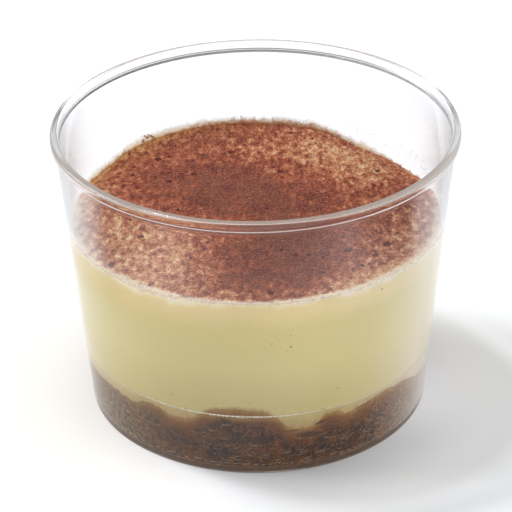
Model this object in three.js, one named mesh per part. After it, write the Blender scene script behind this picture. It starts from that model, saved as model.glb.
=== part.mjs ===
// A single tiramisu in its clear, slightly tapered pot: soaked sponge below, cream above it and a dusting of cocoa on top.
// Lengths are in millimetres, +Z is up, and the origin is the middle of the pot's underside.
import * as THREE from "three";

// The pot
const POT_HEIGHT = 59;
const RIM_RADIUS = 40;
const LIP_HEIGHT = 2.2;
const LIP_ROUNDING = 0.45;
const WALL_RADIUS_UNDER_LIP = 39.15;
const WALL_RADIUS_AT_FOOT = 33.86;
const WALL_THICKNESS = 1;
const FLOOR_THICKNESS = 1;
const FOOT_ROUNDING = 0.9;
const INNER_FOOT_ROUNDING = 1.2;
const POT_SEGMENTS = 96;

// The stacking step, a small ledge round the inside of the wall
const STEP_LEVEL = 13.95;
const STEP_WIDTH = 0.35;
const STEP_SLOPE_HEIGHT = 0.3;

// The food
const FIT_GAP = 0.3;
const FOOD_SEGMENTS = 72;
const SPONGE_LEVEL = 11.3;
const SPONGE_EDGE_ROUNDING = 0.3;
const CREAM_LEVEL = 39.5;
const CREAM_MENISCUS_HEIGHT = 0.1;
const CREAM_WAVE_HEIGHT = 0.12;
const COCOA_LEVEL = 40.4;
const COCOA_RELIEF = 0.2;
const COCOA_EDGE_ROUNDING = 0.2;

// Where the sponge's top edge rises or dips along the wall: angle and half width in degrees, height in millimetres
const SPONGE_SWELLS = [
  { angle: -97, halfWidth: 13.5, height: 4.5 },
  { angle: -127, halfWidth: 6, height: 1.2 },
  { angle: -76, halfWidth: 6, height: -1 },
  { angle: -66, halfWidth: 4, height: 1.4 },
  { angle: -44, halfWidth: 14, height: 1.4 },
  { angle: -14, halfWidth: 16, height: -1.3 },
  { angle: 32, halfWidth: 18, height: 0.9 },
  { angle: 78, halfWidth: 14, height: -0.8 },
  { angle: 126, halfWidth: 20, height: 1.1 },
  { angle: 176, halfWidth: 20, height: -1.5 },
];

// Where the food's top rises or dips as it nears the wall, in the same terms
const TOP_SWELLS = [
  { angle: 40, halfWidth: 24, height: -2.2 },
  { angle: 154, halfWidth: 15, height: -1.3 },
  { angle: 110, halfWidth: 20, height: 0.5 },
  { angle: -38, halfWidth: 16, height: 0.3 },
];
const TOP_SWELL_POWER = 7;

function wallRadius(z) {
  return WALL_RADIUS_AT_FOOT + ((WALL_RADIUS_UNDER_LIP - WALL_RADIUS_AT_FOOT) * z) / (POT_HEIGHT - LIP_HEIGHT);
}

function insideRadius(z) {
  const aboveStep = THREE.MathUtils.clamp((z - STEP_LEVEL) / STEP_SLOPE_HEIGHT + 0.5, 0, 1);
  return wallRadius(z) - WALL_THICKNESS - STEP_WIDTH * (1 - aboveStep);
}

function foodRadius(z) {
  return insideRadius(z) - FIT_GAP;
}

// Points of an arc in the profile plane, both ends included, angles in degrees
function arc(centreR, centreZ, radius, from, to, steps) {
  const points = [];
  for (let i = 0; i <= steps; i++) {
    const angle = THREE.MathUtils.degToRad(from + ((to - from) * i) / steps);
    points.push(new THREE.Vector2(centreR + radius * Math.cos(angle), centreZ + radius * Math.sin(angle)));
  }
  return points;
}

// Signed difference of two angles in degrees, between -180 and 180
function angleBetween(a, b) {
  return THREE.MathUtils.euclideanModulo(a - b + 180, 360) - 180;
}

// The sum of the rises and dips at an angle
function swelling(angle, swells) {
  const degrees = THREE.MathUtils.radToDeg(angle);
  let height = 0;
  for (const swell of swells) {
    const away = angleBetween(degrees, swell.angle) / swell.halfWidth;
    height += swell.height * Math.exp(-(away ** 4));
  }
  return height;
}

function spongeEdgeHeight(angle) {
  return SPONGE_LEVEL + swelling(angle, SPONGE_SWELLS);
}

// The sponge's top runs level inside and reaches its edge height at the wall
function spongeTop(angle, share) {
  return SPONGE_LEVEL + (spongeEdgeHeight(angle) - SPONGE_LEVEL) * share ** 3;
}

// The food's top reaches further out where it stands higher, because the wall leans outwards
function topRadius(angle, level) {
  return foodRadius(level + swelling(angle, TOP_SWELLS));
}

// The height of the cream's top; share is how far out a point lies, 1 at the wall
function creamTop(angle, share) {
  const radius = share * topRadius(angle, CREAM_LEVEL);
  const x = radius * Math.cos(angle);
  const y = radius * Math.sin(angle);
  const wave = Math.sin(0.21 * x + 0.6) * Math.cos(0.24 * y - 0.3);
  const toWall = THREE.MathUtils.smoothstep(share, 0.95, 1);
  const swell = swelling(angle, TOP_SWELLS) * share ** TOP_SWELL_POWER;
  return CREAM_LEVEL + swell + CREAM_WAVE_HEIGHT * wave * (1 - toWall) + CREAM_MENISCUS_HEIGHT * toWall;
}

// The cocoa's top has low drifts of powder, a few millimetres across
function cocoaTop(angle, share) {
  const radius = share * topRadius(angle, COCOA_LEVEL);
  const x = radius * Math.cos(angle);
  const y = radius * Math.sin(angle);
  const broad = Math.sin(0.47 * x + 0.9) * Math.cos(0.41 * y - 0.4);
  const fine = Math.sin(0.93 * x - 0.52 * y + 2.1) * Math.cos(0.38 * x + 0.85 * y);
  const drifts = 0.6 * broad + 0.4 * fine;
  const swell = swelling(angle, TOP_SWELLS) * share ** TOP_SWELL_POWER;
  return COCOA_LEVEL + swell + COCOA_RELIEF * drifts * (1 - 0.5 * share ** 4);
}

// A solid turned round the axis whose profile may change with the angle. The profile runs from the axis below,
// out along the bottom, up the side and back to the axis on top, as pairs of radius and height.
function turned(profileAt, segments) {
  const first = profileAt(0);
  const rings = first.length - 2;
  const positions = [0, 0, first[0][1]];
  for (let s = 0; s < segments; s++) {
    const angle = (2 * Math.PI * s) / segments;
    const profile = profileAt(angle);
    for (let ring = 1; ring <= rings; ring++) {
      const [radius, z] = profile[ring];
      positions.push(radius * Math.cos(angle), radius * Math.sin(angle), z);
    }
  }
  const top = positions.length / 3;
  positions.push(0, 0, first[rings + 1][1]);

  const faces = [];
  for (let s = 0; s < segments; s++) {
    const here = 1 + s * rings;
    const next = 1 + ((s + 1) % segments) * rings;
    faces.push(0, next, here);
    for (let ring = 0; ring < rings - 1; ring++) {
      faces.push(here + ring, next + ring, next + ring + 1);
      faces.push(here + ring, next + ring + 1, here + ring + 1);
    }
    faces.push(here + rings - 1, next + rings - 1, top);
  }

  const geometry = new THREE.BufferGeometry();
  geometry.setAttribute("position", new THREE.Float32BufferAttribute(positions, 3));
  geometry.setIndex(faces);
  geometry.computeVertexNormals();
  return geometry;
}

function potGeometry() {
  const lipUnderside = POT_HEIGHT - LIP_HEIGHT;
  const insideAtRim = insideRadius(POT_HEIGHT - LIP_ROUNDING);
  const innerFoot = FLOOR_THICKNESS + INNER_FOOT_ROUNDING;
  const profile = [
    new THREE.Vector2(0, 0),
    ...arc(wallRadius(FOOT_ROUNDING) - FOOT_ROUNDING, FOOT_ROUNDING, FOOT_ROUNDING, -90, 0, 4),
    new THREE.Vector2(wallRadius(lipUnderside), lipUnderside),
    ...arc(RIM_RADIUS - LIP_ROUNDING, lipUnderside + LIP_ROUNDING, LIP_ROUNDING, -70, 0, 2),
    ...arc(RIM_RADIUS - LIP_ROUNDING, POT_HEIGHT - LIP_ROUNDING, LIP_ROUNDING, 0, 90, 3),
    ...arc(insideAtRim + LIP_ROUNDING, POT_HEIGHT - LIP_ROUNDING, LIP_ROUNDING, 90, 180, 3),
    new THREE.Vector2(insideRadius(STEP_LEVEL + STEP_SLOPE_HEIGHT / 2), STEP_LEVEL + STEP_SLOPE_HEIGHT / 2),
    new THREE.Vector2(insideRadius(STEP_LEVEL - STEP_SLOPE_HEIGHT / 2), STEP_LEVEL - STEP_SLOPE_HEIGHT / 2),
    ...arc(insideRadius(innerFoot) - INNER_FOOT_ROUNDING, innerFoot, INNER_FOOT_ROUNDING, 0, -90, 4),
    new THREE.Vector2(0, FLOOR_THICKNESS),
  ];
  const geometry = new THREE.LatheGeometry(profile, POT_SEGMENTS);
  geometry.rotateX(Math.PI / 2);
  return geometry;
}

function spongeProfile(angle) {
  const bottom = FLOOR_THICKNESS + FIT_GAP;
  const foot = foodRadius(bottom + INNER_FOOT_ROUNDING);
  const edge = spongeEdgeHeight(angle);
  const edgeRadius = foodRadius(edge);
  const profile = [
    [0, bottom],
    [foot * 0.55, bottom],
  ];
  for (const point of arc(foot - INNER_FOOT_ROUNDING, bottom + INNER_FOOT_ROUNDING, INNER_FOOT_ROUNDING, -90, 0, 2)) {
    profile.push([point.x, point.y]);
  }
  for (const share of [0.35, 0.7]) {
    const z = THREE.MathUtils.lerp(bottom + INNER_FOOT_ROUNDING, edge - SPONGE_EDGE_ROUNDING, share);
    profile.push([foodRadius(z), z]);
  }
  profile.push([foodRadius(edge - SPONGE_EDGE_ROUNDING), edge - SPONGE_EDGE_ROUNDING]);
  profile.push([edgeRadius - SPONGE_EDGE_ROUNDING, edge]);
  for (const share of [0.92, 0.82, 0.66, 0.36]) {
    profile.push([edgeRadius * share, spongeTop(angle, share)]);
  }
  profile.push([0, SPONGE_LEVEL]);
  return profile;
}

function creamProfile(angle) {
  const edge = spongeEdgeHeight(angle) + FIT_GAP + 0.1;
  const edgeRadius = foodRadius(spongeEdgeHeight(angle));
  const rim = topRadius(angle, CREAM_LEVEL);
  const profile = [[0, SPONGE_LEVEL + FIT_GAP + 0.1]];
  for (const share of [0.36, 0.66, 0.82, 0.92]) {
    profile.push([edgeRadius * share, spongeTop(angle, share) + FIT_GAP + 0.1]);
  }
  profile.push([foodRadius(edge), edge]);
  for (const z of [17, 22, 31]) {
    profile.push([foodRadius(z), z]);
  }
  for (const share of [1, 0.985, 0.95, 0.85, 0.68, 0.48, 0.26]) {
    profile.push([rim * share, creamTop(angle, share)]);
  }
  profile.push([0, creamTop(0, 0)]);
  return profile;
}

function cocoaProfile(angle) {
  const bottomRim = topRadius(angle, CREAM_LEVEL);
  const rim = topRadius(angle, COCOA_LEVEL);
  const profile = [[0, creamTop(0, 0) + FIT_GAP]];
  for (const share of [0.26, 0.48, 0.68, 0.85, 0.95, 0.985, 1]) {
    profile.push([bottomRim * share, creamTop(angle, share) + FIT_GAP]);
  }
  profile.push([rim, cocoaTop(angle, 1) - COCOA_EDGE_ROUNDING]);
  for (const share of [0.99, 0.95, 0.89, 0.82, 0.74, 0.66, 0.57, 0.48, 0.39, 0.3, 0.21, 0.11]) {
    profile.push([rim * share, cocoaTop(angle, share)]);
  }
  profile.push([0, cocoaTop(0, 0)]);
  return profile;
}

const clearPlastic = new THREE.MeshStandardMaterial({
  color: 0xf4f6f6,
  roughness: 0.06,
  metalness: 0,
  transparent: true,
  opacity: 0.3,
});
const soakedSponge = new THREE.MeshStandardMaterial({ color: 0x6b4e36, roughness: 0.6, metalness: 0 });
const mascarponeCream = new THREE.MeshStandardMaterial({ color: 0xd9cb94, roughness: 0.45, metalness: 0 });
const cocoaPowder = new THREE.MeshStandardMaterial({ color: 0x7d4d3c, roughness: 0.95, metalness: 0 });

function piece(name, geometry, material) {
  const mesh = new THREE.Mesh(geometry, material);
  mesh.name = name;
  return mesh;
}

const group = new THREE.Group();
group.add(piece("cup", potGeometry(), clearPlastic));
group.add(piece("sponge", turned(spongeProfile, FOOD_SEGMENTS), soakedSponge));
group.add(piece("cream", turned(creamProfile, FOOD_SEGMENTS), mascarponeCream));
group.add(piece("cocoa", turned(cocoaProfile, FOOD_SEGMENTS), cocoaPowder));

export default group;
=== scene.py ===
import math

import bpy
import numpy as np
from bpy.props import FloatProperty, FloatVectorProperty, IntProperty, PointerProperty
from mathutils import Matrix, Vector, noise


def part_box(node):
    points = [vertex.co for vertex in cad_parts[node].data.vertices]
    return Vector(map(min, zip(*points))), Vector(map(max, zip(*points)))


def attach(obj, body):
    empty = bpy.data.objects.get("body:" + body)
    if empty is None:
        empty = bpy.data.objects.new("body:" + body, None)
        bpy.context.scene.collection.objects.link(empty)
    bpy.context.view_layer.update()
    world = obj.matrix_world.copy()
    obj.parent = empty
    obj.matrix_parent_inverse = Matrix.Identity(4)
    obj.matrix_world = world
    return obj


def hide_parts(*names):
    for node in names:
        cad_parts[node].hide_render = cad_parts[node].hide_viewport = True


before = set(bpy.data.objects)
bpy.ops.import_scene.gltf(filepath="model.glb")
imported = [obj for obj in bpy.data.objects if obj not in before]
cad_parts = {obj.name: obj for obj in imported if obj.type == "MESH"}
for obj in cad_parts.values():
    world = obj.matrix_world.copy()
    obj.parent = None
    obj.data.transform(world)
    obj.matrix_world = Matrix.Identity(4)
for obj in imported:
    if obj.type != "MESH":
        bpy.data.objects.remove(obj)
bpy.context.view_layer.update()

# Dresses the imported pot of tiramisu: a clear plastic pot, soaked sponge, cream and cocoa, with the powder,
# lumps, bubbles and smears that lie on them. Shapes are worked out in millimetres, with angles from +X, and
# the front at -90 degrees. Meshes and materials are in metres.

bl_info = {
    "name": "Tiramisu Pot",
    "version": (1, 0, 0),
    "blender": (4, 5, 0),
    "location": "View3D > Sidebar > Tiramisu",
    "description": "Builds a clear pot of tiramisu over its packed solids, and a pale studio round it",
    "category": "Object",
}

MM = 0.001
BODY = "root"
CUP_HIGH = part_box("cup")[1]
AXES = (Vector((1, 0, 0)), Vector((0, 1, 0)), Vector((0, 0, 1)))

# The pot
WALL_AT_FOOT = 33.86
WALL_SLOPE = 0.0932
WALL = 1.0
LIP_UNDERSIDE = 56.8
STEP_LEVEL = 13.95
STEP_WIDTH = 0.35
FOOT_ROUNDING = 0.9
LIP_FILLET = 0.3
LIP_LOWER_ROUNDING = 0.9
LIP_OUTER_ROUNDING = 0.75
LIP_INNER_ROUNDING = 0.55

# The food: how far it reaches into the wall, its floor and rounded corner, the sponge's level, how far the
# cream's top lies below the cocoa's, and how thick the cocoa and the films are
INTO_WALL = 0.05
FLOOR = 1.0
CORNER = 1.2
SPONGE_LEVEL = 11.3
CREAM_UNDER_COCOA = 0.9
COCOA_THICKNESS = 0.45
FILM_THICKNESS = 0.03

# Lengths along the side are worked out from angles with these radii
ROUND_WALL = 34
ROUND_FOOT = 33

# Height of the dark line painted into the plastic under the lip, a painted reflection, in metres above the
# table
LIP_LINE = 0.05658

# The table: half its width, and its level, a hair below the pot
TABLE_HALF = 3000
TABLE_LEVEL = -0.05

# The camera: the height that it aims at, in metres, and how far its picture is moved, in pixels
CAMERA_AIM = 0.028571
PICTURE_WIDTH = 512
PICTURE_SHIFT = (-1.216, 4.483)

# Where the sponge's top edge rises or dips along the wall: angle, half width in degrees, height
SPONGE_SWELLS = (
    (-97, 13.5, 4.1), (-127, 6, 1.2), (-76, 6, -1.0), (-66, 4, 1.4), (-44, 14, 1.4),
    (-14, 16, -1.3), (32, 18, 0.9), (78, 14, -0.8), (126, 20, 1.1), (176, 20, -1.5),
)

# Where the food's top rises or dips as it meets the wall, in the same terms
TOP_SWELLS = ((40, 24, -2.2), (154, 15, -1.3), (110, 20, 0.5), (-38, 16, 0.3))

# Where the cocoa lies thin: centre x and y, half length, half width, turn in degrees, strength
THIN_COCOA = (
    (-20, -19, 13, 10, 80, 0.40), (-28, -6, 9, 6, 80, 0.30), (-17, -8, 9, 4, 10, 0.08),
    (-22, -29, 10, 4, -30, 0.15), (-3, -33.5, 7, 2.5, 0, 0.32), (17, -30, 10, 4, 30, 0.46),
    (26, -22, 9, 3.5, 48, 0.38), (31, -8, 8, 4, 80, 0.34), (20, 19, 12, 7, -38, 0.42),
    (23, 11, 6, 3, -50, 0.08), (13, 28, 9, 4, -25, 0.25), (10, 18, 7, 4, -30, 0.06),
    (2, 25, 7, 4, 0, 0.18), (0, 26, 22, 7, 0, 0.05), (23, -13, 9, 5, 30, 0.14),
    (-8, 28, 10, 5, 10, -0.10), (28, 9, 5, 4, 0, -0.15), (-32, 8, 8, 3, 75, 0.34),
)

# Where it lies thick and dull, in the same terms
THICK_COCOA = ((-6, 8, 17, 12, -10, 0.34), (5, -18, 19, 12, 80, 0.34), (16, -10, 12, 8, 20, 0.10))

# Dark lumps that stand out on the cocoa: x, y, width
DARK_LUMPS = (
    (-6.3, 20, 0.8), (-8.8, 17.2, 0.9), (-10.8, 23.3, 0.8), (-5.4, 31, 0.9), (3.6, 17.6, 0.9),
    (5.5, 15.6, 0.8), (0, 12, 0.7), (-19, 15.8, 0.8), (-24.8, 19, 1.0), (-25.5, 12.5, 0.7),
    (23.6, 9.2, 1.2), (24.6, 7.8, 0.7), (19.6, 12.2, 0.7), (-15.6, 0, 1.0), (7, 8.6, 0.7),
    (13.8, 11.5, 0.6), (17.6, -16.6, 1.5), (18.8, -14.6, 0.7), (-9.4, -7.8, 0.6), (0.8, -12.2, 0.8),
    (-16.6, 27.2, 0.9), (9.4, 33.0, 0.7), (-9.6, -13.2, 0.8), (0, -25.6, 0.9), (-26, 24.6, 0.8),
    (11.8, 30.2, 0.8),
)

# Dark wet pockets at the sponge's side: angle, height, half length, half height, turn in degrees
WET_POCKETS = (
    (-127.5, 8.8, 2.5, 1.3, 10), (-118.2, 7.7, 1.5, 0.9, -25), (-115.6, 5.7, 1.6, 0.9, -20),
    (-110.5, 9.3, 1.9, 0.6, 5), (-104.6, 11.2, 2.0, 0.9, 40), (-101.4, 12.4, 1.4, 0.9, 0),
    (-98.2, 7.9, 3.0, 0.8, 40), (-94.8, 10.4, 1.7, 0.7, 80), (-90.8, 7.8, 1.7, 1.2, -10),
    (-102.2, 4.0, 1.5, 0.8, -30), (-124.2, 4.6, 1.7, 0.7, 8), (-107.4, 7.3, 1.1, 0.7, -50),
    (-72.5, 8.4, 3.2, 0.8, -4), (-53.0, 11.9, 2.6, 0.35, 8), (-70.0, 10.9, 1.4, 0.4, 12),
    (-80.5, 9.9, 2.4, 0.25, 0), (-86.2, 6.4, 0.9, 0.4, 80), (-93.0, 5.3, 1.0, 0.4, 30),
    (-143.0, 5.0, 2.2, 1.0, 30), (-60.0, 6.0, 2.0, 0.6, 10), (-45.0, 6.4, 2.6, 0.5, 12),
)

# Tiny marks in the cream at the wall: angle, height, width
CREAM_MARKS = (
    (-86, 31.2, 0.45), (-80.2, 30.2, 0.7), (-80.4, 32.8, 0.35), (-81.5, 29.4, 0.35), (-50.5, 38.4, 0.6),
    (-64.5, 18.3, 0.6), (-118.8, 16.8, 0.6), (-94, 29.6, 0.3), (-93, 17.2, 0.4), (-101.5, 17.0, 0.3),
    (-88, 22.0, 0.25),
)

# Loose grains on the cocoa: dark and light tone, count for each square centimetre, smallest and largest size
GRAINS = {
    "cocoa_grains": ((128, 74, 56), (166, 104, 80), 120, (0.4, 1.3)),
    "pale_grains": ((168, 112, 88), (196, 146, 118), 40, (0.35, 0.8)),
    "dark_grains": ((108, 58, 46), (140, 82, 62), 8, (0.7, 1.9)),
}


def tone(red, green, blue):
    """A colour given as it shows on a screen, from 0 to 255, in the linear values that shaders use."""
    shown = np.array((red, green, blue)) / 255
    linear = np.where(shown <= 0.04045, shown / 12.92, ((shown + 0.055) / 1.055) ** 2.4)
    return tuple(float(v) for v in linear)


def number(name, description, default, **limits):
    """A number that the panel can change."""
    return FloatProperty(name=name, description=description, default=default, **limits)


def colour_choice(name, description, default):
    """A colour that the panel can change."""
    return FloatVectorProperty(
        name=name, description=description, default=default, subtype="COLOR", size=3, min=0, max=1
    )


class PotSettings(bpy.types.PropertyGroup):
    """Sizes of the pot and of its finish."""

    height: number("Height", "Height of the pot", CUP_HIGH.z, min=0.02, unit="LENGTH")
    rim_radius: number("Rim radius", "Outer radius of the lip", CUP_HIGH.x, min=0.01, unit="LENGTH")
    lip_fall: number("Lip fall", "How far the lip's top falls outwards", 0.00005, min=0, unit="LENGTH")
    floor_thickness: number("Floor thickness", "Thickness of the floor", 0.001, min=0.0002, unit="LENGTH")
    segments: IntProperty(name="Segments", description="Steps round the pot", default=512, min=32, max=512)
    tint: colour_choice("Plastic", "Colour of the clear plastic", (0.99, 0.99, 0.99))


class FoodSettings(bpy.types.PropertyGroup):
    """Levels and colours of the layers."""

    top_level: number("Top level", "Height of the food's top", 0.0404, min=0.01, unit="LENGTH")
    cream: colour_choice("Cream", "Colour of the cream's body", tone(216, 203, 144))
    cream_low: colour_choice("Cream below", "Colour of the cream low in the pot", tone(203, 187, 129))
    cream_high: colour_choice("Cream above", "Warmer cream under the cocoa", tone(233, 213, 163))
    sponge: colour_choice("Sponge", "Colour of the soaked sponge", tone(76, 44, 18))
    seed: IntProperty(name="Seed", description="Seed of everything that is scattered", default=7, min=0)


class StageSettings(bpy.types.PropertyGroup):
    """Light and camera."""

    key_power: number("Key light", "Power of the high light at the back left", 4.5, min=0, unit="POWER")
    side_power: number("Side light", "Power of the wide light at the left", 16.2, min=0, unit="POWER")
    around: number("Surround", "Brightness of the surroundings", 0.16, min=0)
    left: number("Left", "Added brightness at the left", 0.10)
    right: number("Right", "Added brightness at the right", 1.92)
    front: number("Front", "Added brightness behind the camera", 0.04)
    above: number("Above", "Added brightness overhead", 0.12)
    elevation: number("Camera elevation", "Angle above the table", math.radians(29.797), subtype="ANGLE")
    roll: number("Camera roll", "How far the view's right side is raised", math.radians(0.8), subtype="ANGLE")
    distance: number("Camera distance", "From the camera to the middle of the pot", 0.514477, unit="LENGTH")
    lens: number("Lens", "Focal length in millimetres", 180.60, min=10)


def clamp(value):
    """A number kept between 0 and 1."""
    return min(1.0, max(0.0, value))


def hill(degrees, centre, half_width, power=4):
    """1 at an angle, falling off smoothly on both sides."""
    away = ((degrees - centre + 180) % 360 - 180) / half_width
    return math.exp(-(away**power))


def ripple(x, y, z, seed, octaves=3):
    """Smooth seeded noise between about -1 and 1."""
    return noise.fractal(Vector((x + 31.7 * seed, y - 17.3 * seed, z)), 1.0, 2.0, octaves)


def wall_radius(z):
    """Outer radius of the wall at a height."""
    return WALL_AT_FOOT + WALL_SLOPE * z


def inside_radius(z):
    """Inner radius of the wall at a height; the wall is thicker below the stacking step."""
    above_step = np.clip((z - STEP_LEVEL) / 0.3 + 0.5, 0, 1)
    return wall_radius(z) - WALL - STEP_WIDTH * (1 - above_step)


def food_radius(z):
    """Radius of the food at a height."""
    return inside_radius(z) + INTO_WALL


def on_wall(angle, z, depth=0.0):
    """A point on the food's side; depth is how far it lies into the wall."""
    radius = float(food_radius(z)) + depth
    return Vector((radius * math.cos(math.radians(angle)), radius * math.sin(math.radians(angle)), z))


def arc(centre_r, centre_z, radius, start, end, steps):
    """Points of an arc in the profile plane."""
    angles = np.radians(np.linspace(start, end, steps + 1))
    return [(centre_r + radius * math.cos(a), centre_z + radius * math.sin(a)) for a in angles]


def swelling(degrees, swells):
    """The sum of the rises and dips at an angle."""
    return sum(rise * hill(degrees, centre, half_width) for centre, half_width, rise in swells)


def sponge_edge(angle):
    """Height of the sponge's top along the wall, at an angle in radians."""
    across, along = math.cos(angle), math.sin(angle)
    height = SPONGE_LEVEL + swelling(math.degrees(angle), SPONGE_SWELLS)
    height += 0.35 * ripple(9 * across, 9 * along, 0.0, 3)
    height += 0.25 * ripple(36 * across, 36 * along, 4.0, 4)
    return height + 0.16 * ripple(60 * across, 60 * along, 7.0, 6, 2)


def sponge_top(edge, shares):
    """Radius and height of the sponge's top at shares of the way from its level middle to its edge."""
    return [(food_radius(edge) * s, SPONGE_LEVEL + (edge - SPONGE_LEVEL) * s**3) for s in shares]


def rim_of_food():
    """Level and radius of the food's top."""
    level = bpy.context.scene.tiramisu_food.top_level / MM
    return level, float(food_radius(level))


def food_top(x, y, level, rim):
    """Height of the food's top: level, but rising or dipping as it nears the wall."""
    share = min(1.0, math.hypot(x, y) / rim)
    return level + swelling(math.degrees(math.atan2(y, x)), TOP_SWELLS) * share**7 + 0.10 * share**40


def food_edge(angle, level, rim):
    """Height of the food's top where it meets the wall, at an angle in radians."""
    return food_top(rim * math.cos(angle), rim * math.sin(angle), level, rim)


def turn_from_front(degrees):
    """How far angles lie from the front."""
    return np.abs((np.asarray(degrees) + 90 + 180) % 360 - 180)


def not_behind(degrees):
    """1 at the front and the sides, fading to 0 behind."""
    return np.clip((108 - turn_from_front(degrees)) / 20, 0, 1)


def side_veil(degrees):
    """Painted sheen: how pale the food is painted where its side is seen along the wall, standing in for the
    plastic's reflection there.
    """
    share = np.clip((turn_from_front(degrees) - 34) / 46, 0, 1)
    return np.minimum(0.5, 0.8 * share**2) * not_behind(degrees)


def turned_by(x, y, degrees):
    """x and y along and across a direction."""
    c, s = math.cos(math.radians(degrees)), math.sin(math.radians(degrees))
    return x * c + y * s, y * c - x * s


def patches(x, y, places, power=1.0):
    """The sum of soft oval patches at a point."""
    total = 0.0
    for centre_x, centre_y, half_length, half_width, turn, strength in places:
        along, across = turned_by(x - centre_x, y - centre_y, turn)
        away = (along / half_length) ** 2 + (across / half_width) ** 2
        total += strength * math.exp(-(away**power))
    return total


def cocoa_cover(x, y, rim):
    """How thickly the cocoa lies, from 0 to about 1.2, before its clumps; it thins out at the edge."""
    cover = 0.75 - 0.72 * patches(x, y, THIN_COCOA) + 0.62 * patches(x, y, THICK_COCOA, 1.3)
    cover += 0.05 * ripple(x * 0.14, y * 0.14, 1.0, 8, 2) + 0.10 * ripple(x * 0.34, y * 0.34, 2.0, 18, 2)
    edge = 0.972 + 0.03 * ripple(x * 0.5, y * 0.5, 0.0, 9, 5)
    turn = math.atan2(y, x)
    bare = 0.10 + 0.46 * (0.5 - 0.5 * math.sin(turn)) + 0.26 * hill(math.degrees(turn), 144, 22)
    bare += 0.24 * ripple(x * 0.9, y * 0.9, 0.0, 19, 4)
    return cover - bare * clamp((math.hypot(x, y) / rim - edge + 0.02) / 0.04)


def new_piece(name, points_mm, faces):
    """A mesh object from points in millimetres; it sits at the origin, with its place in its mesh."""
    mesh = bpy.data.meshes.new(name)
    points = np.asarray(points_mm, float) * MM
    mesh.from_pydata(points.tolist(), [], [list(map(int, face)) for face in faces])
    mesh.validate()
    mesh.update()
    mesh.shade_smooth()
    obj = bpy.data.objects.new(name, mesh)
    bpy.context.scene.collection.objects.link(obj)
    return obj


def turned(name, rings):
    """A closed solid turned round the axis. Each ring holds radius and height at one angle, from the axis
    below, out and up the side, and back to the axis on top."""
    radius, height = np.moveaxis(np.asarray(rings, float), -1, 0)
    segments = len(radius)
    rows = radius.shape[1] - 2
    angles = 2 * np.pi * np.arange(segments) / segments
    x = radius[:, 1:-1] * np.cos(angles)[:, None]
    y = radius[:, 1:-1] * np.sin(angles)[:, None]
    sides = np.stack([x, y, height[:, 1:-1]], -1).reshape(-1, 3)
    points = np.vstack([[[0, 0, height[0, 0]]], sides, [[0, 0, height[0, -1]]]])
    start = 1 + np.arange(segments) * rows
    after = np.roll(start, -1)
    here, following = (edge[:, None] + np.arange(rows - 1) for edge in (start, after))
    quads = np.stack([here, following, following + 1, here + 1], -1).reshape(-1, 4)
    bottom = np.stack([np.zeros(segments, int), after, start], -1)
    top = np.stack([start + rows - 1, after + rows - 1, np.full(segments, len(points) - 1)], -1)
    return new_piece(name, points, quads.tolist() + bottom.tolist() + top.tolist())


def tube(path, radii, sides=5):
    """Points and faces of a closed tube along a path, with one radius for each point."""
    points, faces = [], []
    last = len(path) - 1
    for k, centre in enumerate(path):
        turn = (path[min(k + 1, last)] - path[max(k - 1, 0)]).to_track_quat("Z", "Y")
        for side in range(sides):
            angle = 2 * math.pi * side / sides
            points.append(centre + turn @ (Vector((math.cos(angle), math.sin(angle), 0)) * radii[k]))
    for k in range(last):
        for side in range(sides):
            a, b = k * sides + side, k * sides + (side + 1) % sides
            faces.append((a, b, b + sides, a + sides))
    faces.append(tuple(range(sides - 1, -1, -1)))
    faces.append(tuple(range(last * sides, (last + 1) * sides)))
    return points, faces


def blob(centre, size, seed, rings=4, sides=6, axes=AXES):
    """Points and faces of an uneven lump. axes are its three directions, and size its half widths."""
    directions = [Vector((0, 0, -1))]
    for ring in range(1, rings):
        tilt = math.pi * ring / rings - math.pi / 2
        for side in range(sides):
            turn = 2 * math.pi * side / sides
            flat = math.cos(tilt)
            directions.append(Vector((flat * math.cos(turn), flat * math.sin(turn), math.sin(tilt))))
    directions.append(Vector((0, 0, 1)))
    points = []
    for direction in directions:
        uneven = 1 + 0.28 * ripple(*(direction * 1.4), seed, 2)
        local = [direction[i] * size[i] * uneven for i in range(3)]
        points.append(Vector(centre) + axes[0] * local[0] + axes[1] * local[1] + axes[2] * local[2])
    faces = []
    top = 1 + (rings - 2) * sides
    for side in range(sides):
        after = (side + 1) % sides
        faces.append((0, 1 + after, 1 + side))
        for ring in range(rings - 2):
            a, b = 1 + ring * sides + side, 1 + ring * sides + after
            faces.append((a, b, b + sides, a + sides))
        faces.append((top + side, top + after, len(points) - 1))
    return points, faces


def joined(name, *parts):
    """One piece from several lots of points and faces."""
    points, faces = [], []
    for part_points, part_faces in parts:
        faces.extend(tuple(i + len(points) for i in face) for face in part_faces)
        points.extend(part_points)
    return new_piece(name, points, faces)


def grid_faces(across, up):
    """The squares between the points of a grid, whose points run up first."""
    index = np.arange((across + 1) * (up + 1)).reshape(across + 1, up + 1)
    corners = [index[:-1, :-1], index[1:, :-1], index[1:, 1:], index[:-1, 1:]]
    return np.stack(corners, -1).reshape(-1, 4).tolist()


def round_grid(count, radius):
    """The points of a square grid drawn out to a circle."""
    steps = np.linspace(-1, 1, count + 1)
    u, v = np.meshgrid(steps, steps, indexing="ij")
    x = radius * u * np.sqrt(1 - v**2 / 2)
    y = radius * v * np.sqrt(1 - u**2 / 2)
    return list(zip(x.ravel().tolist(), y.ravel().tolist()))


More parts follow.
